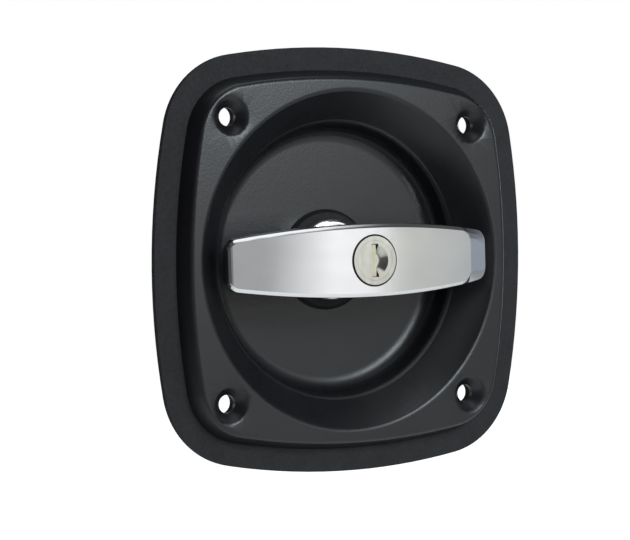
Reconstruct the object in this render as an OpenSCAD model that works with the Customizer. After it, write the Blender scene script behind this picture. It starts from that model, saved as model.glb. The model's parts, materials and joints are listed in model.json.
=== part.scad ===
// Recessed T-handle latch: a pressed pan with a round dish, a chromed T-handle with a key lock,
// and a quarter-turn latch cam behind. Millimetres, +Z up, front towards -Y.
// The origin is on the handle's axis, in the plane of the door face that the gasket lies on.

/* [Gasket] */
// Width and height of the gasket
gasket_size = 130; // [118:1:150]
// Radius of the gasket's bowed sides
gasket_side_r = 224.25; // [180:0.25:400]
// Radius of the gasket's corners
gasket_corner_r = 26; // [20:1:36]
// Thickness of the gasket
gasket_t = 2; // [1:0.25:4]

/* [Pan] */
// Border of gasket that shows round the pan
pan_margin = 7; // [5:0.5:9]
// Height of the pan's front above the gasket
pan_rise = 5.5; // [5:0.25:8]
// Thickness of the pan's sheet
sheet_t = 1.5; // [1:0.1:1.8]
// How far the pan's skirt slopes out from its top to its foot
skirt_slope = 2.4; // [1:0.1:3]
// Radius of the pan's edge above the skirt
edge_r = 1.8; // [1.8:0.1:3.5]
// Flat land between that edge and the rim of the dish
rim_land = 1.7; // [0.5:0.1:4]
// Radius of the dish's rim
rim_fillet = 2; // [2:0.25:4]
// Radius of the step in the dish's wall
step_r = 43.4; // [42:0.2:45]
// Depth of that step below the pan's front
step_depth = 9.5; // [8:0.25:11]
// Width of the sloping ledge below the step
ledge_w = 1.2; // [0.8:0.1:1.6]
// Drop of that ledge
ledge_drop = 0.8; // [0.5:0.1:1.2]
// Radius of the dish's floor, before its fillet
floor_r = 40.6; // [36:0.2:41.5]
// Depth of the dish's floor below the pan's front
dish_depth = 18; // [16:0.25:24]
// Fillet between the wall and the floor
floor_fillet = 5; // [2:0.5:7]

/* [Screw dimples] */
// Pitch of the four screws, across and up
screw_pitch = 85; // [84:0.5:87]
// Diameter of the screw holes
screw_hole_d = 5.5; // [4:0.25:6.5]
// Diameter of the dimples at the pan's front
dimple_d = 12.4; // [9:0.2:12.8]
// Depth of the dimples
dimple_depth = 3; // [2:0.25:3.25]
// Extra radius of the gasket's screw holes
gasket_hole_play = 0.5; // [0.2:0.1:1]

/* [Bush] */
// Radius of the bush's flange
bush_flange_r = 15.7; // [14:0.1:18]
// Thickness of the bush's flange
bush_flange_t = 1.5; // [1:0.1:2.5]
// Radius of the bush's body
bush_body_r = 12; // [11.9:0.05:12.5]
// Length of the bush behind the dish's floor
bush_tail = 8; // [7.5:0.25:10]
// Thickness of the tooth washer
tooth_washer_t = 1; // [0.6:0.1:1.5]
// Thickness of the ring nut
ring_nut_t = 5; // [3:0.25:5.5]
// Width of the ring nut across its flats
ring_nut_af = 32; // [29:0.5:36]

/* [Handle] */
// Length of the handle bar
bar_l = 91.6; // [70:0.2:92]
// Width of the bar at its middle
bar_w = 22; // [18:0.2:23.5]
// Width of the bar at its ends
bar_end_w = 15; // [12:0.2:17]
// Height of the bar's front above the pan's front, at the lock
bar_front = 11.4; // [11:0.1:15]
// Radius of the bar's bowed front
bar_bow_r = 170; // [150:5:500]
// Length of the bevel at the bar's right end
end_bevel_l = 8; // [4:0.25:9]
// Drop of the bevel at the bar's right end
end_bevel_drop = 3.8; // [2:0.1:4.5]
// Radius of the front edge at the bar's left end
end_round = 1.5; // [0.5:0.1:2]
// Height of the bar's back above the pan's front, at the middle
bar_back = -1; // [-1:0.1:2]
// Rise of the bar's back from its middle to its ends
back_rise = 1.5; // [0:0.1:3]
// Width of the sloping strip along the bar's long edges
bar_chamfer = 1.2; // [0.6:0.1:2]
// Corner radius of the bar's front face, inside its bevel
face_corner_r = 3.5; // [2:0.25:5]
// Corner radius of the bar's ends
bar_corner_r = 2.6; // [1.5:0.1:4]
// Angle of the handle above level, as its play leaves it
handle_tilt = 2; // [0:0.5:2.5]
// Radius of the collar at the stem's foot
stem_r = 12.7; // [11.2:0.1:13]
// Taper of the stem towards the bar
stem_taper = 2; // [0:0.1:2]
// Radius of the journal that runs in the bush
journal_r = 8.5; // [8.3:0.05:8.6]

/* [Lock] */
// Radius of the lock barrel
barrel_r = 7.35; // [7.3:0.05:8]
// Radius of the key plug
plug_r = 6; // [5.9:0.05:6.2]
// Width of the dark groove round the lock's face
moat_w = 0.55; // [0.4:0.05:1]
// Depth of that groove
moat_depth = 1.5; // [0.5:0.1:2.5]
// Height of the keyway
keyway_h = 10; // [8.5:0.1:10.2]
// Width of the keyway
keyway_w = 2.5; // [2.2:0.1:2.7]
// Radius of the scoop beside the keyway
scoop_r = 4.6; // [3.5:0.1:5]
// Depth of that scoop
scoop_depth = 2.2; // [1:0.1:2.6]
// Throw of the tailpiece's crank pin
crank_throw = 1.7; // [1.5:0.05:1.8]
// Width of the lock bolt
bolt_w = 6; // [5:0.1:6.2]

/* [Latch] */
// Width of the square spindle
spindle_w = 8; // [7:0.1:8.2]
// Length of the spacer between the handle and the cam
spacer_l = 8; // [4:0.5:30]
// Thickness of the latch cam
cam_t = 3; // [2:0.25:5]
// Reach of the cam from the handle's axis
cam_reach = 46; // [25:0.5:48]
// Width of the cam's tongue
cam_w = 18; // [14:0.5:22]
// Thread diameter of the cam nut
nut_thread_d = 6; // [5:0.5:6.5]

/* [Fits] */
// Radial play of parts that turn in each other
run_play = 0.05; // [0.03:0.01:0.08]
// Gap between parts that pass each other
pass_gap = 0.2; // [0.1:0.05:0.3]
// Radial play of parts that are put together and stay
seat_play = 0.03; // [0.02:0.01:0.05]

/* [Hidden] */
$fn = 64;

// Levels along the handle's axis, measured forward from the door face
pan_z = gasket_t + pan_rise;
floor_z = pan_z - dish_depth;
floor_back_z = floor_z - sheet_t;
flange_z = floor_z + bush_flange_t;
bush_end_z = floor_back_z - bush_tail;
bar_z = pan_z + bar_front;
bar_back_z = pan_z + bar_back;
lock_z = bar_z + 0.2;

// Pan outline and dish
pan_half = gasket_size / 2 - pan_margin;
skirt_turn = atan2(pan_rise, skirt_slope);
skirt_foot = sheet_t / sin(skirt_turn);
edge_run = skirt_slope + edge_r * tan(skirt_turn / 2);
rim_guess_r = pan_half - edge_run - rim_land;
rim_turn = atan2(step_depth, rim_guess_r - step_r);
rim_r = rim_guess_r - rim_fillet * tan(rim_turn / 2);
plate_open_r = rim_guess_r;
step_fillet = 1;
ledge_fillet = 2;
wall_slope = atan2(step_depth, rim_r - step_r);
wall_back_r = rim_r - pan_rise / tan(wall_slope) + sheet_t / sin(wall_slope);
cutout_play = 1.75;
cutout_r = wall_back_r + cutout_play;
dish_lap = 0.25;
plate_lap = 1;
floor_lap = 2;
dimple_lip = 0.4;
lip_w = 0.9;
lip_drop = 0.45;
dimple_lap = 0.3;
screw_r = screw_hole_d / 2;
dimple_r = dimple_d / 2;
skirt_inset = 10;

// Bush, with its notches for the bolt and its stop crown
bush_bore_r = journal_r + run_play;
bush_flat_depth = 0.8;
bush_bevel = 1;
bush_flat = bush_body_r - bush_flat_depth;
bush_hole_play = 0.1;
bush_hole_r = bush_body_r + bush_hole_play;
notch_w = bolt_w + 1.2;
notch_r = bush_bore_r + 2.35;
crown_l = 2.5;
crown_in_r = 10.2;
crown_gap = 0.25;
stop_ear = 20;
stop_play = 1.2;
travel = 90;

// Handle stem and journal
thrust_t = 0.6;
stem_end_z = flange_z + pass_gap + thrust_t;
bolt_t = 3.9;
bolt_slot_t = 4;
bolt_slot_z = floor_back_z - 2;
bolt_travel = 2 * crank_throw * sin(45);
bolt_out_y = journal_r - 0.8;
bolt_in_y = -4.9;
stop_t = 2;
stop_z = bush_end_z - 0.15;
wave_h = 1.7;
ring_t = 1.15;
ring_w = 2.4;
ring_ear_r = 1.6;
ring_eye_r = 0.6;
ring_groove = 0.7;
ring_z = stop_z - stop_t - wave_h;
journal_end_z = ring_z - 6;
journal_flat = journal_r - 2;
socket_z = bush_end_z;
pin_r = 1.5;
pin_z = ring_z - 3.6;
o_ring_r = 0.8;
o_ring_z = floor_z - 0.6;

// Lock
moat_r = barrel_r + moat_w;
seal_drop = 0.3;
barrel_end_z = floor_z + 5.5;
clip_r = 5.3;
clip_t = 1.5;
tail_r = 3;
crank_r = 0.8;
spigot_w = 3;
spigot_l = 4.5;
tail_pin_r = 0.75;
wafer_t = 1;
wafer_w = 5.6;
wafer_lift = 0.8;
wafer_pitch = 2.3;
wafer_first_z = lock_z - 8;
wafer_count = 5;
shutter_z = lock_z - 1.6;
shutter_x = -keyway_w / 2 - 0.7;
shutter_w = 2.8;
shutter_t = 0.7;
shutter_h = keyway_h - 0.3;
shutter_pin_r = 0.35;
pocket_play = 0.15;
pocket_r = shutter_t + pocket_play;
pocket_floor = 0.3;
scoop_foot = 2;
scoop_flare = 0.5;
barrel_pin_r = 1;
barrel_pin_in = 0.7;
barrel_pin_z = barrel_end_z + 3;
barrel_pin_sunk = 0.3;
stem_h = bar_back_z + 1 - stem_end_z;
collar_step = 1.6;
collar_l = 2.6;
collar_round = 1.2;
stem_foot_r = stem_r - collar_step;
stem_top_r = stem_r - stem_taper;
stem_at_pin_r = stem_foot_r - (stem_foot_r - stem_top_r) * (barrel_pin_z - stem_end_z) / stem_h;
tail_pin_z = barrel_end_z + 2.5;
wafer_play = 0.05;
groove_play = 0.2;

// Latch behind the journal
cam_z = journal_end_z - spacer_l;
square_end_z = cam_z - cam_t + 0.5;
lock_washer_t = 1.5;
lock_washer_w = 3;
lock_washer_mouth = 14;
nut_t = 5;
nut_af = nut_thread_d + 4;
nut_z = cam_z - cam_t - lock_washer_t;
thread_over = 2;
thread_end_z = nut_z - nut_t - thread_over;
thread_r = nut_thread_d / 2;

// Colours
rubber = [0.17, 0.17, 0.18];
powder_coat = [0.10, 0.10, 0.11];
black_plastic = [0.05, 0.05, 0.06];
chrome = [0.86, 0.87, 0.88];
nickel = [0.70, 0.69, 0.66];
zinc = [0.62, 0.63, 0.64];
brass = [0.73, 0.62, 0.38];
tan_metal = [0.70, 0.66, 0.52];

// Turns the axis from +Z to the front, -Y
module upright() {
    rotate([90, 0, 0]) children();
}

// The same for what turns with the handle
module on_handle() {
    upright() rotate(handle_tilt) children();
}

// A cylinder between two levels on the axis
module rod(r, z_low, z_high) {
    translate([0, 0, z_low]) cylinder(r = r, h = z_high - z_low);
}

// A ring between two levels on the axis
module collar(r_out, r_in, z_low, z_high) {
    difference() {
        rod(r_out, z_low, z_high);
        rod(r_in, z_low - 1, z_high + 1);
    }
}

// A box centred on the axis between two levels
module bar_box(w, h, z_low, z_high) {
    translate([-w / 2, -h / 2, z_low]) cube([w, h, z_high - z_low]);
}

// Bowed square outline: centre of its corner arcs, and half the angle of its side arcs
side_k = gasket_size / 2 - gasket_side_r;
side_d = gasket_side_r - gasket_corner_r;
corner_c = (side_k + sqrt(2 * side_d * side_d - side_k * side_k)) / 2;
side_half = atan2(corner_c, corner_c - side_k);

// The side arcs' centre, the corner arcs' centre and a point beyond the outline lie on one line
beyond = [side_k, 0] + 1.2 * [corner_c - side_k, corner_c];

// The eight ends of the outline's corner arcs, set in from the gasket's outline
function corner_ends(inset) = let (
        r = gasket_corner_r - inset,
        c = r * cos(side_half),
        s = r * sin(side_half)
    ) [
    for (quarter = [0 : 3], end = [[c, s], [s, c]]) let (p = [corner_c, corner_c] + end)
        quarter == 0 ? p : quarter == 1 ? [-p[1], p[0]] : quarter == 2 ? -p : [p[1], -p[0]]
];

// Sweeps a section round the bowed square: a stretch of a wide ring along each side and of a tight
// ring at each corner. The section's x is measured out from the inset outline.
module sweep_outline(inset, z_low, z_high) {
    for (quarter = [0 : 3]) {
        rotate(90 * quarter) {
            intersection() {
                translate([side_k, 0, 0]) rotate_extrude() translate([gasket_side_r - inset, 0]) children();
                translate([0, 0, z_low]) linear_extrude(z_high - z_low)
                    polygon([[corner_c, -corner_c], [beyond[0], -beyond[1]], beyond, [corner_c, corner_c]]);
            }
            intersection() {
                translate([corner_c, corner_c, 0]) rotate_extrude()
                    translate([gasket_corner_r - inset, 0]) children();
                translate([0, 0, z_low]) linear_extrude(z_high - z_low)
                    polygon([[corner_c, corner_c], beyond, [beyond[0], beyond[0]], [beyond[1], beyond[0]]]);
            }
        }
    }
}

// Sheet sections: a path with rounded corners and its parallel at one thickness
function unit(v) = v / norm(v);
function left_normal(a, b) = let (d = unit(b - a)) [-d[1], d[0]];
function path_normals(path) = [for (i = [0 : len(path) - 2]) left_normal(path[i], path[i + 1])];
function parallel_path(path, t) = let (n = path_normals(path), last = len(path) - 1) [
    for (i = [0 : last])
        i == 0 ? path[0] + t * n[0] :
        i == last ? path[last] + t * n[last - 1] :
        path[i] + t * (n[i - 1] + n[i]) / (1 + n[i - 1] * n[i])
];
function turn_side(a, b, c) = sign(left_normal(a, b) * (c - b));
function arc_at(a, b, c, r, steps) = let (
        u = unit(a - b),
        v = unit(c - b),
        half = acos(u * v) / 2,
        centre = b + unit(u + v) * r / sin(half),
        p = b + u * r / tan(half) - centre,
        turn = turn_side(a, b, c) * (180 - 2 * half)
    ) [for (i = [0 : steps]) let (w = turn * i / steps)
        centre + [p[0] * cos(w) - p[1] * sin(w), p[0] * sin(w) + p[1] * cos(w)]];
function round_path(path, radii, steps) = let (last = len(path) - 1) concat(
    [path[0]],
    [for (i = [1 : last - 1]) each arc_at(path[i - 1], path[i], path[i + 1], radii[i - 1], steps)],
    [path[last]]
);
function side_radii(path, radii, t) = [for (i = [0 : len(radii) - 1])
    radii[i] - t * turn_side(path[i], path[i + 1], path[i + 2])];
function reversed(list) = [for (i = [len(list) - 1 : -1 : 0]) list[i]];
module sheet_section(path, radii, t, steps) {
    front = round_path(path, radii, steps);
    back = round_path(parallel_path(path, t), side_radii(path, radii, t), steps);
    polygon(concat(front, reversed(back)));
}

module gasket() {
    color(rubber) upright() difference() {
        union() {
            sweep_outline(0, -1, gasket_t + 1) translate([-skirt_inset, 0]) square([skirt_inset, gasket_t]);
            linear_extrude(gasket_t) polygon(corner_ends(plate_lap));
        }
        rod(cutout_r, -1, gasket_t + 1);
        at_screws() rod(screw_r + gasket_hole_play, -1, gasket_t + 1);
    }
}

// Puts something at each screw
module at_screws() {
    for (sx = [-1, 1], sy = [-1, 1]) {
        translate([sx * screw_pitch / 2, sy * screw_pitch / 2, 0]) children();
    }
}

// The pan's rolled skirt and its flat front plate
module skirt_and_plate() {
    under_z = pan_z - sheet_t;
    corner_x = -skirt_foot - skirt_slope * (pan_rise - sheet_t) / pan_rise;
    front = round_path([[-skirt_inset, pan_z], [-skirt_slope, pan_z], [0, gasket_t]], [edge_r], 6);
    back = round_path([[-skirt_inset, under_z], [corner_x, under_z], [-skirt_foot, gasket_t]],
        [edge_r - sheet_t], 3);
    sweep_outline(pan_margin, 0, pan_z + 1) polygon(concat(front, reversed(back)));
    translate([0, 0, under_z]) linear_extrude(sheet_t)
        polygon(corner_ends(pan_margin + edge_run + plate_lap));
}

// Back of a pressed screw dimple
module dimple_back() {
    translate([0, 0, pan_z - dimple_depth - sheet_t])
        cylinder(r1 = screw_r + sheet_t, r2 = dimple_r - dimple_lip, h = dimple_depth + dimple_lap);
}

// Front of a pressed screw dimple, with its hole
module dimple_front() {
    rotate_extrude() polygon([[0, 0], [screw_r, 0], [screw_r, pan_z - dimple_depth],
        [dimple_r - lip_w, pan_z - lip_drop], [dimple_r, pan_z], [dimple_r, pan_z + 1], [0, pan_z + 1]]);
}

// Hole in the dish's floor with two flats that keep the bush from turning
module bush_hole() {
    intersection() {
        rod(bush_hole_r, floor_back_z - 1, floor_z + 1);
        bar_box(3 * bush_hole_r, 2 * (bush_flat + bush_hole_play), floor_back_z - 1, floor_z + 1);
    }
}

// Stepped dish: rim, sloping wall, small ledge, steeper wall below it, filleted floor
module dish() {
    dish_path = [[plate_open_r + dish_lap, pan_z], [rim_r, pan_z], [step_r, pan_z - step_depth],
        [step_r - ledge_w, pan_z - step_depth - ledge_drop], [floor_r, floor_z],
        [bush_body_r - floor_lap, floor_z]];
    radii = [rim_fillet, step_fillet, ledge_fillet, floor_fillet];
    rotate_extrude() sheet_section(dish_path, radii, sheet_t, 6);
}

// Pressed pan
module pan() {
    color(powder_coat) upright() {
        difference() {
            union() {
                skirt_and_plate();
                at_screws() dimple_back();
            }
            at_screws() dimple_front();
            rod(plate_open_r, 0, pan_z + 1);
        }
        difference() {
            dish();
            bush_hole();
        }
    }
}

// Part of a ring between two angles
module ring_sector(r_out, r_in, from, span, z_low, z_high) {
    rotate(from) rotate_extrude(angle = span)
        translate([r_in, z_low]) square([r_out - r_in, z_high - z_low]);
}

// Flanged bush with four bolt notches and a crown that stops the handle
module handle_bush() {
    gap_from = 180 - stop_ear - stop_play;
    gap_span = travel + 2 * (stop_ear + stop_play);
    color(black_plastic) upright() difference() {
        union() {
            rotate_extrude() polygon([[bush_bore_r, floor_z], [bush_flange_r, floor_z],
                [bush_flange_r, flange_z - bush_bevel], [bush_flange_r - bush_bevel, flange_z],
                [bush_bore_r, flange_z]]);
            intersection() {
                collar(bush_body_r, bush_bore_r, bush_end_z, floor_z + 0.5);
                bar_box(3 * bush_body_r, 2 * bush_flat, bush_end_z - 1, floor_z + 1);
            }
            intersection() {
                ring_sector(bush_body_r, crown_in_r, gap_from + gap_span, 360 - gap_span,
                    bush_end_z - crown_l, bush_end_z + 0.5);
                bar_box(3 * bush_body_r, 2 * bush_flat, bush_end_z - crown_l - 1, floor_z);
            }
        }
        for (quarter = [0 : 3]) {
            rotate(90 * quarter) translate([-notch_w / 2, 0, bush_end_z - 0.01])
                cube([notch_w, notch_r, bolt_slot_z + 0.3 - bush_end_z]);
        }
    }
}

module tooth_washer() {
    teeth = 16;
    out_r = bush_body_r + 4;
    color(zinc) upright() difference() {
        collar(out_r, bush_hole_r, floor_back_z - tooth_washer_t, floor_back_z);
        for (i = [0 : teeth - 1]) {
            rotate(360 * i / teeth) translate([out_r - 1.6, -0.7, floor_back_z - tooth_washer_t - 1])
                cube([3, 1.4, tooth_washer_t + 2]);
        }
    }
}

module ring_nut() {
    nut_top = floor_back_z - tooth_washer_t;
    color(zinc) upright() difference() {
        translate([0, 0, nut_top - ring_nut_t])
            cylinder(r = ring_nut_af / sqrt(3), h = ring_nut_t, $fn = 6);
        rod(bush_body_r + seat_play, nut_top - ring_nut_t - 1, nut_top + 1);
    }
}

// The bar's half width, and the level of its back, at a distance from the middle
bar_half = bar_l / 2;
edge_sag = (bar_w - bar_end_w) / 2;
function bar_edge(x) = bar_w / 2 - edge_sag * (x / bar_half) ^ 2;
function bar_side(x) = let (into = abs(x) - (bar_half - bar_corner_r))
    bar_edge(x) - (into > 0 ? bar_corner_r - sqrt(max(0, bar_corner_r ^ 2 - into ^ 2)) : 0);
function bar_under(x) = bar_back_z + back_rise * (x / bar_half) ^ 2;

// Half width of the front face, which ends in rounded corners at the bevel
bevel_x = bar_half - end_bevel_l;
face_corner_x = bevel_x - face_corner_r;
function corner_y(x) = bar_edge(x) - bar_chamfer - face_corner_r;
function face_side(x) = x <= face_corner_x ? bar_side(x) - bar_chamfer :
    corner_y(x) + (x < bevel_x ? sqrt(face_corner_r ^ 2 - (x - face_corner_x) ^ 2) : 0);

// Distance of a place outside the front face, and the slope of the bevel or of the rounded strip there
strip_slope = 0.9;
strip_start = 0.6;
bevel_slope = end_bevel_drop / end_bevel_l;
function outside(x, y) = let (u = x - face_corner_x, v = y - corner_y(x))
    u <= 0 ? y - face_side(x) : (v <= 0 ? u : norm([u, v])) - face_corner_r;
function strip_at(x, y) = let (share = max(0, min(1, outside(x, y) / bar_chamfer)))
    strip_slope * (strip_start + (1 - strip_start) * share);
function slope_at(x, y) = let (u = max(0, x - face_corner_x), v = max(0, y - corner_y(x)))
    u <= 0 ? strip_at(x, y) : (strip_at(x, y) * v ^ 2 + bevel_slope * u ^ 2) / (u ^ 2 + v ^ 2);

// Level of the bar's front: bowed, sloping outside the face and rounded over at the left end
function bow_z(x) = bar_z - bar_bow_r + sqrt(bar_bow_r ^ 2 - x ^ 2);
function round_drop(x) = let (into = end_round - bar_half - x)
    into > 0 ? end_round - sqrt(max(0, end_round ^ 2 - into ^ 2)) : 0;
function front_z(x, y) =
    bow_z(min(x, bevel_x)) - slope_at(x, y) * max(0, outside(x, y)) - round_drop(x);

// Section of the bar: the upper half of its front and side, its back, and the lower half
edge_soft = 0.15;
edge_drop = 0.7;
back_soft = 1.6;
back_in = 1.4;
strip_steps = 3;
function bar_section(x) = let (
        w = bar_side(x),
        s = face_side(x),
        b = bar_under(x),
        rim_z = front_z(x, w - edge_soft) - edge_drop,
        low_z = b + min(back_soft, (rim_z - b) / 2),
        front = [for (j = [0 : strip_steps]) let (y = s + (w - edge_soft - s) * j / strip_steps)
            [y, front_z(x, y)]]
    ) concat(
    [for (p = front) [x, p[0], p[1]]],
    [[x, w, rim_z], [x, w, low_z], [x, w - back_in, b]],
    [[x, -w + back_in, b], [x, -w, low_z], [x, -w, rim_z]],
    [for (j = [strip_steps : -1 : 0]) [x, -front[j][0], front[j][1]]]
);
// Places of the sections: even steps along the bow, then the face's corner, the bevel and the ends
end_places = [for (i = [1 : 7]) bar_half - bar_corner_r * (1 - sin(90 * i / 7))];
left_places = concat(
    [for (i = [1 : 14]) (bar_half - bar_corner_r) * i / 14],
    end_places
);
right_places = concat(
    [for (i = [0 : 12]) face_corner_x * i / 12],
    [for (i = [1 : 10]) face_corner_x + face_corner_r * sin(9 * i)],
    [for (i = [1 : 3]) bevel_x + (end_bevel_l - bar_corner_r) * i / 3],
    end_places
);
bar_places = concat([for (i = [len(left_places) - 1 : -1 : 0]) -left_places[i]], right_places);

// A solid through a row of sections that have the same number of points
module loft(sections) {
    n = len(sections[0]);
    rows = len(sections);
    polyhedron(
        points = [for (s = sections) each s],
        faces = concat(
            [[for (j = [n - 1 : -1 : 0]) j]],
            [[for (j = [0 : n - 1]) (rows - 1) * n + j]],
            [for (i = [0 : rows - 2], j = [0 : n - 1]) each [
                [i * n + j, i * n + (j + 1) % n, (i + 1) * n + j],
                [i * n + (j + 1) % n, (i + 1) * n + (j + 1) % n, (i + 1) * n + j]]]
        ),
        convexity = 4
    );
}

// Collar at the stem's foot with a rounded front edge
module foot_collar() {
    steps = 8;
    rotate_extrude() polygon(concat(
        [[0, stem_end_z], [stem_r, stem_end_z]],
        [for (i = [0 : steps]) let (turn = 90 * i / steps)
            [stem_r - collar_round * (1 - cos(turn)),
                stem_end_z + collar_l - collar_round * (1 - sin(turn))]],
        [[0, stem_end_z + collar_l]]
    ));
}

// Chromed T-handle: bowed bar, stem and journal, bored for the lock, the bolt and the spindle
module t_handle() {
    color(chrome) on_handle() difference() {
        union() {
            loft([for (x = bar_places) bar_section(x)]);
            translate([0, 0, stem_end_z])
                cylinder(r1 = stem_foot_r, r2 = stem_top_r, h = stem_h);
            foot_collar();
            rod(journal_r, socket_z, stem_end_z + 1);
            intersection() {
                rod(journal_r, journal_end_z, socket_z + 0.5);
                bar_box(3 * journal_r, 2 * journal_flat, journal_end_z - 1, socket_z + 1);
            }
        }
        rod(moat_r, bar_z - moat_depth, bar_z + 2);
        rod(barrel_r + seat_play, barrel_end_z, bar_z + 2);
        rod(clip_r + pass_gap, barrel_end_z - clip_t - pass_gap, barrel_end_z + 1);
        rod(tail_r + run_play, bolt_slot_z - 1, barrel_end_z);
        translate([-bolt_w / 2 - run_play, bolt_in_y - 0.3, bolt_slot_z - bolt_slot_t])
            cube([bolt_w + 2 * run_play, journal_r + 6, bolt_slot_t]);
        bar_box(spindle_w + 2 * seat_play, spindle_w + 2 * seat_play, journal_end_z - 1, socket_z);
        collar(journal_r + 1, journal_r - ring_groove, ring_z - ring_t - run_play, ring_z);
        collar(journal_r + 0.5, journal_r - 2 * o_ring_r, o_ring_z - 2 * o_ring_r - 0.2, o_ring_z);
        translate([0, 0, pin_z]) rotate([0, 90, 0])
            cylinder(r = pin_r + seat_play, h = 4 * journal_r, center = true);
        translate([0, barrel_pin_in - barrel_r, barrel_pin_z]) rotate([90, 0, 0])
            cylinder(r = barrel_pin_r + seat_play, h = 2 * stem_r);
    }
}

// Lock cylinder body, with grooves where the wafers spring out
module lock_barrel() {
    groove_top = wafer_first_z + wafer_t;
    groove_low = wafer_first_z - wafer_pitch * (wafer_count - 1) - wafer_t;
    color(nickel) on_handle() difference() {
        collar(barrel_r, plug_r + run_play, barrel_end_z, lock_z);
        for (quarter = [0 : 3]) {
            rotate(90 * quarter) translate([-wafer_w / 2 - groove_play, 0, groove_low])
                cube([wafer_w + 2 * groove_play, plug_r + wafer_lift + groove_play, groove_top - groove_low]);
        }
        translate([0, barrel_pin_in - barrel_r, barrel_pin_z]) rotate([90, 0, 0])
            cylinder(r = barrel_pin_r + seat_play, h = 2 * stem_r);
    }
}

// Black seal in the groove round the lock's face
module lock_seal() {
    color(rubber) on_handle()
        collar(moat_r - seat_play, barrel_r + seat_play, bar_z - moat_depth, bar_z - seal_drop);
}

module barrel_pin() {
    color(zinc) on_handle() translate([0, barrel_pin_in - barrel_r, barrel_pin_z]) rotate([90, 0, 0])
        cylinder(r = barrel_pin_r, h = stem_at_pin_r - barrel_r + barrel_pin_in - barrel_pin_sunk);
}

module thrust_washer() {
    color(black_plastic) on_handle()
        collar(stem_r - 0.5, journal_r + seat_play, stem_end_z - thrust_t, stem_end_z);
}

module o_ring() {
    color(rubber) on_handle() translate([0, 0, o_ring_z - o_ring_r - 0.1]) rotate_extrude()
        translate([journal_r - o_ring_r, 0]) circle(r = o_ring_r);
}

// Double-flat hole of the stop plate
module flatted_hole(z_low, z_high, play) {
    intersection() {
        rod(journal_r + play, z_low, z_high);
        bar_box(3 * journal_r, 2 * (journal_flat + play), z_low - 1, z_high + 1);
    }
}

module stop_plate() {
    color(zinc) on_handle() difference() {
        union() {
            rod(crown_in_r - crown_gap, stop_z - stop_t, stop_z);
            ring_sector(bush_body_r - 0.1, crown_in_r - 1, 180 - stop_ear, 2 * stop_ear,
                stop_z - stop_t, stop_z);
        }
        flatted_hole(stop_z - stop_t - 1, stop_z + 1, seat_play);
    }
}

// Wave washer: a thin ring with three waves
module wave_washer() {
    steps = 60;
    thick = 0.4;
    swing = (wave_h - thick) / 2;
    mid = stop_z - stop_t - wave_h / 2;
    in_r = journal_r + pass_gap;
    out_r = crown_in_r - crown_gap;
    ring = [for (i = [0 : steps - 1]) let (a = 360 * i / steps, z = mid + swing * cos(3 * a)) [
        [in_r * cos(a), in_r * sin(a), z - thick / 2], [out_r * cos(a), out_r * sin(a), z - thick / 2],
        [out_r * cos(a), out_r * sin(a), z + thick / 2], [in_r * cos(a), in_r * sin(a), z + thick / 2]]];
    color(zinc) on_handle() polyhedron(
        points = [for (s = ring) each s],
        faces = [for (i = [0 : steps - 1], j = [0 : 3]) let (k = (i + 1) % steps, m = (j + 1) % 4) each [
            [i * 4 + j, k * 4 + j, i * 4 + m], [k * 4 + j, k * 4 + m, i * 4 + m]]],
        convexity = 4
    );
}

// Circlip with an open end and two ears
module retaining_ring() {
    in_r = journal_r - ring_groove + seat_play;
    mouth = 40;
    ear_turn = mouth / 2 + 6;
    color(zinc) on_handle() {
        ring_sector(in_r + ring_w, in_r, 90 + mouth / 2, 360 - mouth, ring_z - ring_t, ring_z);
        for (side = [-1, 1]) {
            rotate(90 + side * ear_turn) translate([in_r + ring_w, 0, 0])
                collar(ring_ear_r, ring_eye_r, ring_z - ring_t, ring_z);
        }
    }
}

// Square spindle with a threaded end for the cam nut
module spindle() {
    color(zinc) on_handle() difference() {
        union() {
            bar_box(spindle_w, spindle_w, square_end_z, socket_z);
            rod(thread_r, thread_end_z + 0.6, square_end_z + 1);
            translate([0, 0, thread_end_z]) cylinder(r1 = thread_r - 0.6, r2 = thread_r, h = 0.6);
        }
        translate([0, 0, pin_z]) rotate([0, 90, 0])
            cylinder(r = pin_r + seat_play, h = 2 * spindle_w, center = true);
    }
}

module spindle_pin() {
    color(zinc) on_handle() translate([0, 0, pin_z]) rotate([0, 90, 0])
        cylinder(r = pin_r, h = 2 * journal_r - 0.6, center = true);
}

module cam_spacer() {
    color(zinc) on_handle() difference() {
        rod(journal_r - 0.5, cam_z, journal_end_z);
        bar_box(spindle_w + 0.2, spindle_w + 0.2, cam_z - 1, journal_end_z + 1);
    }
}

// Latch cam: round hub and a tongue with a rounded tip
module latch_cam() {
    tip_r = 4;
    color(zinc) on_handle() translate([0, 0, cam_z - cam_t]) linear_extrude(cam_t) difference() {
        union() {
            circle(r = cam_w / 2 + 2);
            translate([0, -cam_w / 2]) square([cam_reach - tip_r, cam_w]);
            translate([cam_reach - 2 * tip_r, -cam_w / 2 + tip_r]) square([2 * tip_r, cam_w - 2 * tip_r]);
            for (side = [-1, 1]) {
                translate([cam_reach - tip_r, side * (cam_w / 2 - tip_r)]) circle(r = tip_r);
            }
        }
        square(spindle_w + 2 * seat_play, center = true);
    }
}

// Split spring washer
module lock_washer() {
    top = cam_z - cam_t;
    color(zinc) on_handle()
        ring_sector(thread_r + pass_gap + lock_washer_w, thread_r + pass_gap, 90 + lock_washer_mouth / 2,
            360 - lock_washer_mouth, top - lock_washer_t, top);
}

module cam_nut() {
    color(zinc) on_handle() difference() {
        translate([0, 0, nut_z - nut_t])
            cylinder(r = nut_af / sqrt(3), h = nut_t, $fn = 6);
        rod(thread_r + seat_play, nut_z - nut_t - 1, nut_z + 1);
    }
}

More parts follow.
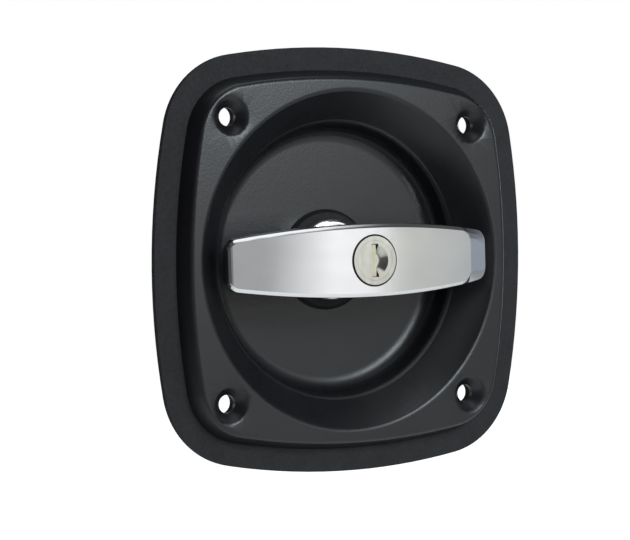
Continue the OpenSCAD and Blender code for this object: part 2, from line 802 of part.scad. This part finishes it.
// Key plug: keyway, scoop, shutter pocket, wafer slots and the socket for the tailpiece
module key_plug() {
    keyway_low = wafer_first_z - wafer_pitch * wafer_count;
    pocket_low = shutter_z - shutter_w - pocket_floor;
    color(nickel) on_handle() difference() {
        rod(plug_r, barrel_end_z, lock_z);
        bar_box(keyway_w, keyway_h, keyway_low, lock_z + 1);
        intersection() {
            translate([0, 0, lock_z - scoop_depth])
                cylinder(r1 = scoop_r - scoop_foot, r2 = scoop_r + scoop_flare, h = scoop_depth * 1.25);
            translate([0, -plug_r, lock_z - scoop_depth - 1]) cube([plug_r, 2 * plug_r, scoop_depth + 2]);
        }
        translate([shutter_x - pocket_r, -keyway_h / 2, pocket_low])
            cube([pocket_r - shutter_x, keyway_h, shutter_z + pocket_r - pocket_low]);
        translate([shutter_x, 0, shutter_z]) rotate([90, 0, 0])
            cylinder(r = shutter_pin_r + seat_play, h = 2 * plug_r, center = true);
        for (i = [0 : wafer_count - 1]) {
            level = wafer_first_z - wafer_pitch * i;
            bar_box(wafer_w + 2 * wafer_play, 3 * plug_r, level - wafer_t / 2 - wafer_play,
                level + wafer_t / 2 + wafer_play);
        }
        bar_box(spigot_w + 2 * seat_play, spigot_w + 2 * seat_play, barrel_end_z - 1,
            barrel_end_z + spigot_l + 0.1);
        translate([0, 0, tail_pin_z]) rotate([0, 90, 0])
            cylinder(r = tail_pin_r + seat_play, h = 3 * plug_r, center = true);
    }
}

// Tailpiece: square spigot, retaining disc, shaft and crank pin
module tailpiece() {
    disc_z = barrel_end_z - 0.1;
    color(brass) on_handle() difference() {
        union() {
            bar_box(spigot_w, spigot_w, disc_z - 0.5, barrel_end_z + spigot_l);
            rod(clip_r, disc_z - clip_t, disc_z);
            rod(tail_r, bolt_slot_z + 0.05, disc_z - clip_t + 0.5);
            rotate(-45) translate([crank_throw, 0, 0])
                rod(crank_r, bolt_slot_z - bolt_t + 0.2, bolt_slot_z + 0.5);
        }
        translate([0, 0, tail_pin_z]) rotate([0, 90, 0])
            cylinder(r = tail_pin_r + seat_play, h = 3 * plug_r, center = true);
    }
}

module tail_pin() {
    color(zinc) on_handle() translate([0, 0, tail_pin_z]) rotate([0, 90, 0])
        cylinder(r = tail_pin_r, h = 2 * plug_r - 0.6, center = true);
}

module shutter_pin() {
    color(zinc) on_handle() translate([shutter_x, 0, shutter_z]) rotate([90, 0, 0])
        cylinder(r = shutter_pin_r, h = keyway_h + 1, center = true);
}

// Dust shutter: a flap on a knuckle beside the keyway
module dust_shutter() {
    color(tan_metal) on_handle() translate([shutter_x, 0, shutter_z]) difference() {
        union() {
            rotate([90, 0, 0]) cylinder(r = shutter_t, h = shutter_h, center = true);
            translate([0, -shutter_h / 2, 0]) cube([shutter_w, shutter_h, shutter_t]);
        }
        rotate([90, 0, 0]) cylinder(r = shutter_pin_r + run_play, h = 2 * plug_r, center = true);
    }
}

// Five wafers with a window for the key
module wafers() {
    color(brass) on_handle() for (i = [0 : wafer_count - 1]) {
        level = wafer_first_z - wafer_pitch * i - wafer_t / 2;
        difference() {
            intersection() {
                rod(plug_r - wafer_play, level, level + wafer_t);
                bar_box(wafer_w, 3 * plug_r, level - 1, level + wafer_t + 1);
            }
            bar_box(keyway_w + 0.2, keyway_h - 1.8, level - 1, level + wafer_t + 1);
        }
    }
}

// Lock bolt: a radial bar with a cross slot for the crank pin
module lock_bolt() {
    slot_half = crank_r + 0.1;
    crank_at = crank_throw * cos(45);
    level = bolt_slot_z - (bolt_slot_t + bolt_t) / 2;
    color(zinc) on_handle() difference() {
        translate([-bolt_w / 2, bolt_in_y, level])
            cube([bolt_w, bolt_out_y - bolt_in_y, bolt_t]);
        translate([crank_at - slot_half, -crank_at - slot_half, level - 1])
            cube([crank_throw - crank_at + 2 * slot_half, 2 * slot_half, bolt_t + 2]);
    }
}

gasket();
pan();
handle_bush();
tooth_washer();
ring_nut();
t_handle();
lock_barrel();
lock_seal();
barrel_pin();
thrust_washer();
o_ring();
stop_plate();
wave_washer();
retaining_ring();
spindle();
spindle_pin();
cam_spacer();
latch_cam();
lock_washer();
cam_nut();
key_plug();
tailpiece();
tail_pin();
shutter_pin();
dust_shutter();
wafers();
lock_bolt();
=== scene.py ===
"""Recessed T-handle latch: materials, small details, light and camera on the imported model."""
import json
import math
from collections import namedtuple
import bmesh
import bpy
from mathutils import Matrix, Vector


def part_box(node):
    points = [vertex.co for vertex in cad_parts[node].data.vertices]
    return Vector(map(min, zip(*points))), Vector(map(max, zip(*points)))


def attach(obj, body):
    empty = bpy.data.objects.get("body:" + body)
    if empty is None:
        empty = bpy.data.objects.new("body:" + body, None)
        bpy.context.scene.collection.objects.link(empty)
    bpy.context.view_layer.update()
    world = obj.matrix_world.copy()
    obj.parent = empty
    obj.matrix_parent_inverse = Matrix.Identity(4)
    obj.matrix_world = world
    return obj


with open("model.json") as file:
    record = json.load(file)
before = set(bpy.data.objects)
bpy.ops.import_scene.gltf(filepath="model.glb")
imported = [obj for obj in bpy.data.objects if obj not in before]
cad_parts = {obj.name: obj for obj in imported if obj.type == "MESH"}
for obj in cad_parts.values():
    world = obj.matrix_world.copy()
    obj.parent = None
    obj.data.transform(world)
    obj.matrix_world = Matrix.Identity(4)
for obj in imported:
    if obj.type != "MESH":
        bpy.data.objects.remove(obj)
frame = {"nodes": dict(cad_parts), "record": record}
nodes = frame["nodes"]
scene = bpy.context.scene
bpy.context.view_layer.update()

# Camera values fitted to the photograph, in metres and degrees, with the lens and sensor in millimetres
CAMERA_AZIMUTH = -29.97
CAMERA_ELEVATION = 1.0
CAMERA_ROLL = 0.07
CAMERA_DISTANCE = 0.596
CAMERA_LENS = 112.9
CAMERA_SENSOR = 36.0
CAMERA_NEAR, CAMERA_FAR = 0.01, 50.0
CAMERA_TARGET = Vector((-0.01419, -0.0075, -0.00295))

# Level of the floor below the latch, and how far it goes to the front, the back and each side
FLOOR_Z = -0.12
FLOOR_FRONT, FLOOR_BACK, FLOOR_SIDE = -0.14, 1.3, 0.8
FLOOR_COLOUR = (0.86, 0.86, 0.86, 1.0)
# The floor's own light towards the camera and towards shiny surfaces, and the distances from the latch
# between which the second fades away
FLOOR_GLOW, FLOOR_SHINE = 0.85, 0.45
SHINE_FULL, SHINE_END = 0.15, 0.40

# What shiny surfaces see round the latch: azimuth from the front, then the room's shade there
WHITE_WALL = (1.0, 1.0, 1.0, 1.0)
DARK_WALL = (0.08, 0.08, 0.09, 1.0)
GREY_WALL = (0.41, 0.42, 0.42, 1.0)
LIT_PANEL = (1.08, 1.08, 1.08, 1.0)
WARM_WALL = (0.64, 0.65, 0.61, 1.0)
COOL_WALL = (0.30, 0.34, 0.40, 1.0)
ROOM = [
    (-180, WHITE_WALL), (-140, WHITE_WALL), (-115, DARK_WALL), (-65, DARK_WALL),
    (-35, GREY_WALL), (5, GREY_WALL), (21, LIT_PANEL), (29, LIT_PANEL),
    (40, WARM_WALL), (88, COOL_WALL), (122, WHITE_WALL), (180, WHITE_WALL),
]
# Above the walls: a dim band, and a lit ceiling. Each comes in between two heights in degrees
UPPER_WALL = (0.08, 0.08, 0.085, 1.0)
CEILING = (1.15, 1.16, 1.18, 1.0)
UPPER_BANDS = [(0.0, 26.0, UPPER_WALL), (56.0, 72.0, CEILING)]
# Strength of the even light that matte surfaces get from all sides
FILL = 0.125

# Soft boxes: direction in degrees with azimuth 0 in front, sizes in metres, power in watts
Lamp = namedtuple("Lamp", "name azimuth elevation distance width height power")
LAMP_TINT = (0.86, 0.95, 1.0)
LAMPS = [
    Lamp("key", 12.0, 24.0, 0.5, 0.24, 0.18, 1.45),
    Lamp("front_right", 25.0, 12.0, 0.6, 0.24, 0.18, 0.15),
    Lamp("top_front", 10.0, 44.0, 0.6, 0.24, 0.18, 0.1),
    Lamp("right_edge", 122.0, 8.0, 1.3, 0.3, 0.9, 5.5),
]

# A noise pattern: its scale per metre, its detail and how it is stretched along x, y and z
Grain = namedtuple("Grain", "scale detail stretch", defaults=(3.0, (1.0, 1.0, 1.0)))
# Noise values that stand for the least and the most roughness
GRAIN_LOW, GRAIN_HIGH = 0.3, 0.7
# A material: colours along its tone grain as sRGB levels, least and most roughness along the second
# grain, bump as grain, distance in metres and strength, and other shader values
Look = namedtuple("Look", "name tone shades rough_grain rough bump values")
LOOKS = {
    "gasket_rubber": Look(
        "gasket_rubber", Grain(160.0, 4.0), [(0.3, (39, 39, 41)), (0.7, (46, 46, 48))],
        Grain(1200.0, 2.0), (0.78, 0.9), (Grain(2600.0), 0.00008, 0.4), {"IOR": 1.45}),
    "powder_coat": Look(
        "powder_coat", Grain(70.0, 2.0), [(0.35, (20, 20, 23)), (0.65, (25, 25, 29))],
        Grain(900.0, 2.0), (0.31, 0.36), (Grain(1300.0, 2.0), 0.00007, 0.45), {"IOR": 1.5}),
    "black_plastic": Look(
        "black_plastic", Grain(240.0), [(0.3, (24, 24, 25)), (0.7, (30, 30, 31))],
        Grain(700.0), (0.5, 0.62), (Grain(3000.0), 0.00004, 0.3), {"Specular IOR Level": 0.25}),
    "chrome": Look(
        "chrome", Grain(45.0, 2.0, (1.0, 1.0, 2.0)), [(0.3, (226, 227, 229)), (0.7, (236, 236, 237))],
        Grain(120.0, 3.0, (1.0, 1.0, 3.0)), (0.09, 0.14), (Grain(220.0, 2.0), 0.00002, 0.12),
        {"Metallic": 1.0}),
    "nickel": Look(
        "satin_nickel", Grain(500.0, 4.0, (1.0, 1.0, 0.25)), [(0.3, (188, 187, 179)), (0.7, (206, 205, 197))],
        Grain(900.0, 3.0, (1.0, 1.0, 0.2)), (0.17, 0.25),
        (Grain(2500.0, 3.0, (1.0, 1.0, 0.2)), 0.00002, 0.25), {"Metallic": 1.0}),
    "zinc_steel": Look(
        "zinc_plate", Grain(180.0, 4.0),
        [(0.3, (160, 161, 162)), (0.55, (172, 173, 172)), (0.75, (180, 179, 175))],
        Grain(600.0, 4.0), (0.28, 0.42), (Grain(1600.0), 0.00003, 0.3), {"Metallic": 1.0}),
    "brass": Look(
        "turned_brass", Grain(260.0), [(0.3, (176, 146, 84)), (0.7, (200, 170, 104))],
        Grain(900.0), (0.25, 0.35), None, {"Metallic": 1.0}),
    # Painted shade: this near-black ring laid in the groove round the lock stands in for the shade deep in
    # that groove
    "seal_rubber": Look(
        "seal_rubber", Grain(300.0), [(0.3, (12, 12, 12)), (0.7, (18, 18, 18))],
        Grain(900.0), (0.7, 0.85), None, {}),
    "tan_metal": Look(
        "shutter_metal", Grain(700.0, 3.0, (1.0, 1.0, 0.3)), [(0.3, (188, 182, 160)), (0.7, (206, 200, 178))],
        Grain(1300.0), (0.38, 0.5), None, {"Metallic": 0.7}),
}

# Shading of the CAD nodes: points nearer than the gap in metres are joined, edges sharper than the
# crease in degrees stay crisp, and the bowed handle has a finer crease
WELD_GAP = 1e-6
CREASE, HANDLE_CREASE = 28.0, 8.6
# Plain steel pieces whose edges over an angle in degrees are eased, by a width in metres
EASED_NODES = ("ring_nut", "latch_cam", "cam_nut", "cam_spacer")
EASE_WIDTH, EASE_STEPS, EASE_ANGLE = 0.0002, 2, 40.0

# Sizes of the threaded ends behind the dish, in metres
BUSH_R, BUSH_FLAT, BUSH_CROWN = 0.012, 0.0112, 0.0025
BUSH_PITCH, BUSH_DEPTH = 0.0008, 0.0003
SPINDLE_R, SPINDLE_POINT = 0.003, 0.0006
SPINDLE_PITCH, SPINDLE_DEPTH = 0.0006, 0.00018
# Steps in a turn of thread, steps over which a ridge fades in, how far its foot is sunk in metres,
# and half its width as a share of the pitch
THREAD_STEPS, THREAD_FADE, THREAD_SINK, THREAD_HALF = 72, 4.0, 0.00006, 0.42


def srgb(value):
    """An sRGB level from 0 to 255 as linear light."""
    v = value / 255.0
    return v / 12.92 if v <= 0.04045 else ((v + 0.055) / 1.055) ** 2.4


def colour(r, g, b):
    return (srgb(r), srgb(g), srgb(b), 1.0)


def heading(azimuth, elevation):
    """The direction from the latch to a place round it, azimuth 0 being in front."""
    az, el = math.radians(azimuth), math.radians(elevation)
    return Vector((math.sin(az) * math.cos(el), -math.cos(az) * math.cos(el), math.sin(el)))


def ramp_node(tree, factor, stops):
    """A colour ramp with its stops, each a place from 0 to 1 and a colour."""
    node = tree.nodes.new("ShaderNodeValToRGB")
    elements = node.color_ramp.elements
    while len(elements) < len(stops):
        elements.new(0.5)
    for element, (place, shade) in zip(elements, stops):
        element.position = place
        element.color = shade
    tree.links.new(factor, node.inputs["Fac"])
    return node.outputs["Color"]


def range_node(tree, value, **ends):
    """A map range node, given the ends that differ from 0 and 1."""
    node = tree.nodes.new("ShaderNodeMapRange")
    for name, end in ends.items():
        node.inputs[name.replace("_", " ").title()].default_value = end
    tree.links.new(value, node.inputs["Value"])
    return node


def math_node(tree, operation, *values):
    """A math node, each input joined to a socket or set to a number."""
    node = tree.nodes.new("ShaderNodeMath")
    node.operation = operation
    for socket, value in zip(node.inputs, values):
        if isinstance(value, bpy.types.NodeSocket):
            tree.links.new(value, socket)
        else:
            socket.default_value = value
    return node.outputs["Value"]


def shiny_rays(tree, path):
    """One on rays that come from a shiny or clear surface, and otherwise zero."""
    return math_node(tree, "MAXIMUM", path.outputs["Is Glossy Ray"], path.outputs["Is Transmission Ray"])


def grain_node(tree, coords, grain):
    """The noise pattern of a grain on the object's own coordinates."""
    mapping = tree.nodes.new("ShaderNodeMapping")
    mapping.inputs["Scale"].default_value = grain.stretch
    tree.links.new(coords.outputs["Object"], mapping.inputs["Vector"])
    noise = tree.nodes.new("ShaderNodeTexNoise")
    noise.inputs["Scale"].default_value = grain.scale
    noise.inputs["Detail"].default_value = grain.detail
    tree.links.new(mapping.outputs["Vector"], noise.inputs["Vector"])
    return noise.outputs["Fac"]


def make_material(look):
    mat = bpy.data.materials.new(look.name)
    mat.use_nodes = True
    tree = mat.node_tree
    shader = tree.nodes["Principled BSDF"]
    coords = tree.nodes.new("ShaderNodeTexCoord")
    stops = [(place, colour(*levels)) for place, levels in look.shades]
    tone = ramp_node(tree, grain_node(tree, coords, look.tone), stops)
    tree.links.new(tone, shader.inputs["Base Color"])
    low, high = look.rough
    rough = range_node(tree, grain_node(tree, coords, look.rough_grain),
                       from_min=GRAIN_LOW, from_max=GRAIN_HIGH, to_min=low, to_max=high)
    tree.links.new(rough.outputs["Result"], shader.inputs["Roughness"])
    for name, value in look.values.items():
        shader.inputs[name].default_value = value
    if look.bump:
        grain, distance, strength = look.bump
        bump = tree.nodes.new("ShaderNodeBump")
        bump.inputs["Distance"].default_value = distance
        bump.inputs["Strength"].default_value = strength
        tree.links.new(grain_node(tree, coords, grain), bump.inputs["Height"])
        tree.links.new(bump.outputs["Normal"], shader.inputs["Normal"])
    return mat


MATERIALS = {slot: make_material(look) for slot, look in LOOKS.items()}


def dress_nodes():
    """Gives each CAD node its material, and smooth shading with crisp edges."""
    slots = {s["node"]: s["material_slot"] for s in frame["record"]["subparts"]}
    for name, obj in nodes.items():
        obj.data.materials.clear()
        obj.data.materials.append(MATERIALS[slots[name]])
        obj.data.polygons.foreach_set("use_smooth", [True] * len(obj.data.polygons))
        weld = obj.modifiers.new("weld", "WELD")
        weld.merge_threshold = WELD_GAP
        if name in EASED_NODES:
            ease = obj.modifiers.new("ease", "BEVEL")
            ease.width = EASE_WIDTH
            ease.segments = EASE_STEPS
            ease.limit_method = "ANGLE"
            ease.angle_limit = math.radians(EASE_ANGLE)
        split = obj.modifiers.new("crease", "EDGE_SPLIT")
        split.split_angle = math.radians(HANDLE_CREASE if name == "t_handle" else CREASE)
        even = obj.modifiers.new("even", "WEIGHTED_NORMAL")
        even.keep_sharp = True


def thread_runs(radius, low, high, pitch, flat):
    """The turn and depth of each step of a thread, in runs that stop at the flats."""
    count = int(((high - low) / pitch - 1.0) * THREAD_STEPS)
    runs, run = [], []
    for i in range(count + 1):
        turn = 2.0 * math.pi * i / THREAD_STEPS
        if flat is None or abs(radius * math.sin(turn)) < flat:
            run.append((turn, low + pitch * (0.5 + i / THREAD_STEPS)))
        elif run:
            runs.append(run)
            run = []
    runs.append(run)
    return [run for run in runs if len(run) >= 3]


def thread_ridge(name, radius, low, high, pitch, depth, body, slot, flat=None):
    """A helical ridge round the handle's axis between two depths, cut off at the flats."""
    vertices, faces = [], []
    foot = radius - THREAD_SINK
    for run in thread_runs(radius, low, high, pitch, flat):
        first = len(vertices)
        for k, (turn, y) in enumerate(run):
            fade = min(1.0, k / THREAD_FADE, (len(run) - 1 - k) / THREAD_FADE)
            for r, shift in ((foot, -THREAD_HALF), (radius + depth * fade, 0.0), (foot, THREAD_HALF)):
                vertices.append((r * math.cos(turn), y + shift * pitch, r * math.sin(turn)))
        for k in range(len(run) - 1):
            a, b = first + 3 * k, first + 3 * (k + 1)
            for j in range(3):
                n = (j + 1) % 3
                faces.append((a + j, a + n, b + n, b + j))
        last = first + 3 * (len(run) - 1)
        faces.append((first + 2, first + 1, first))
        faces.append((last, last + 1, last + 2))
    mesh = bpy.data.meshes.new(name)
    mesh.from_pydata(vertices, [], faces)
    form = bmesh.new()
    form.from_mesh(mesh)
    bmesh.ops.recalc_face_normals(form, faces=form.faces)
    form.to_mesh(mesh)
    form.free()
    mesh.materials.append(MATERIALS[slot])
    obj = bpy.data.objects.new(name, mesh)
    scene.collection.objects.link(obj)
    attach(obj, body)


def add_threads():
    """Threads on the bush behind its ring nut and on the spindle's end behind the cam nut."""
    nut_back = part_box("ring_nut")[1][1]
    bush_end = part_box("handle_bush")[1][1] - BUSH_CROWN
    thread_ridge("bush_thread", BUSH_R, nut_back, bush_end, BUSH_PITCH, BUSH_DEPTH,
                 "frame", "black_plastic", BUSH_FLAT)
    nut_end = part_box("cam_nut")[1][1]
    spindle_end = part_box("spindle")[1][1] - SPINDLE_POINT
    thread_ridge("spindle_thread", SPINDLE_R, nut_end, spindle_end, SPINDLE_PITCH, SPINDLE_DEPTH,
                 "handle", "zinc_steel")


def set_camera():
    az, roll = math.radians(CAMERA_AZIMUTH), math.radians(CAMERA_ROLL)
    back = heading(CAMERA_AZIMUTH, CAMERA_ELEVATION)
    level = Vector((math.cos(az), math.sin(az), 0.0))
    rise = back.cross(level)
    right = level * math.cos(roll) + rise * math.sin(roll)
    up = rise * math.cos(roll) - level * math.sin(roll)
    data = bpy.data.cameras.new("camera")
    data.lens = CAMERA_LENS
    data.sensor_width = CAMERA_SENSOR
    data.clip_start = CAMERA_NEAR
    data.clip_end = CAMERA_FAR
    cam = bpy.data.objects.new("camera", data)
    scene.collection.objects.link(cam)
    turn = Matrix((right, up, back)).transposed().to_4x4()
    cam.matrix_world = Matrix.Translation(CAMERA_TARGET + back * CAMERA_DISTANCE) @ turn
    scene.camera = cam


def add_lamps():
    """Soft boxes that face the latch."""
    for lamp in LAMPS:
        back = heading(lamp.azimuth, lamp.elevation)
        data = bpy.data.lights.new(lamp.name, "AREA")
        data.shape = "RECTANGLE"
        data.size, data.size_y = lamp.width, lamp.height
        data.energy = lamp.power
        data.color = LAMP_TINT
        obj = bpy.data.objects.new(lamp.name, data)
        obj.location = back * lamp.distance
        obj.rotation_mode = "QUATERNION"
        obj.rotation_quaternion = (-back).to_track_quat("-Z", "Y")
        scene.collection.objects.link(obj)


def room_shade(tree):
    """The room's shade in each direction: walls by azimuth, then the bands above them."""
    coords = tree.nodes.new("ShaderNodeTexCoord")
    split = tree.nodes.new("ShaderNodeSeparateXYZ")
    tree.links.new(coords.outputs["Generated"], split.inputs["Vector"])
    front = math_node(tree, "MULTIPLY", split.outputs["Y"], -1.0)
    azimuth = math_node(tree, "ARCTAN2", split.outputs["X"], front)
    turn = range_node(tree, azimuth, from_min=-math.pi, from_max=math.pi)
    stops = [((place + 180.0) / 360.0, wall) for place, wall in ROOM]
    shade = ramp_node(tree, turn.outputs["Result"], stops)
    height = math_node(tree, "ARCSINE", split.outputs["Z"])
    for low, high, band in UPPER_BANDS:
        share = range_node(tree, height, from_min=math.radians(low), from_max=math.radians(high))
        share.interpolation_type = "SMOOTHSTEP"
        mix = tree.nodes.new("ShaderNodeMix")
        mix.data_type = "RGBA"
        mix.inputs["B"].default_value = band
        tree.links.new(share.outputs["Result"], mix.inputs["Factor"])
        tree.links.new(shade, mix.inputs["A"])
        shade = mix.outputs["Result"]
    return shade


def background(tree, strength):
    """An even white light from all sides."""
    node = tree.nodes.new("ShaderNodeBackground")
    node.inputs["Color"].default_value = (1.0, 1.0, 1.0, 1.0)
    node.inputs["Strength"].default_value = strength
    return node


def mix_shaders(tree, factor, first, second):
    node = tree.nodes.new("ShaderNodeMixShader")
    tree.links.new(factor, node.inputs["Fac"])
    tree.links.new(first, node.inputs[1])
    tree.links.new(second, node.inputs[2])
    return node.outputs["Shader"]


def set_world():
    """The room to shiny surfaces, an even fill to matte ones and plain white to the camera."""
    world = bpy.data.worlds.new("studio")
    world.use_nodes = True
    tree = world.node_tree
    tree.nodes.clear()
    room = background(tree, 1.0)
    tree.links.new(room_shade(tree), room.inputs["Color"])
    fill = background(tree, FILL)
    white = background(tree, 1.0)
    path = tree.nodes.new("ShaderNodeLightPath")
    lit = mix_shaders(tree, shiny_rays(tree, path), fill.outputs["Background"], room.outputs["Background"])
    seen = mix_shaders(tree, path.outputs["Is Camera Ray"], lit, white.outputs["Background"])
    out = tree.nodes.new("ShaderNodeOutputWorld")
    tree.links.new(seen, out.inputs["Surface"])
    scene.world = world


def floor_material():
    mat = bpy.data.materials.new("floor")
    mat.use_nodes = True
    tree = mat.node_tree
    tree.nodes.clear()
    matte = tree.nodes.new("ShaderNodeBsdfDiffuse")
    matte.inputs["Color"].default_value = FLOOR_COLOUR
    path = tree.nodes.new("ShaderNodeLightPath")
    to_camera = math_node(tree, "MULTIPLY", path.outputs["Is Camera Ray"], FLOOR_GLOW)
    coords = tree.nodes.new("ShaderNodeTexCoord")
    away = tree.nodes.new("ShaderNodeVectorMath")
    away.operation = "LENGTH"
    tree.links.new(coords.outputs["Object"], away.inputs[0])
    shine = range_node(tree, away.outputs["Value"], from_min=SHINE_FULL, from_max=SHINE_END,
                       to_min=FLOOR_SHINE, to_max=0.0)
    to_shiny = math_node(tree, "MULTIPLY", shiny_rays(tree, path), shine.outputs["Result"])
    glow = tree.nodes.new("ShaderNodeEmission")
    glow.inputs["Color"].default_value = (1.0, 1.0, 1.0, 1.0)
    tree.links.new(math_node(tree, "MAXIMUM", to_camera, to_shiny), glow.inputs["Strength"])
    add = tree.nodes.new("ShaderNodeAddShader")
    tree.links.new(matte.outputs["BSDF"], add.inputs[0])
    tree.links.new(glow.outputs["Emission"], add.inputs[1])
    out = tree.nodes.new("ShaderNodeOutputMaterial")
    tree.links.new(add.outputs["Shader"], out.inputs["Surface"])
    return mat


def add_floor():
    """A pale floor that stays near white to the camera and still shows a soft shadow."""
    mesh = bpy.data.meshes.new("floor")
    corners = [(-FLOOR_SIDE, FLOOR_FRONT), (FLOOR_SIDE, FLOOR_FRONT),
               (FLOOR_SIDE, FLOOR_BACK), (-FLOOR_SIDE, FLOOR_BACK)]
    mesh.from_pydata([(x, y, FLOOR_Z) for x, y in corners], [], [(0, 1, 2, 3)])
    mesh.materials.append(floor_material())
    obj = bpy.data.objects.new("floor", mesh)
    scene.collection.objects.link(obj)


dress_nodes()
add_threads()
set_camera()
set_world()
add_floor()
add_lamps()

scene.view_settings.view_transform = "Standard"
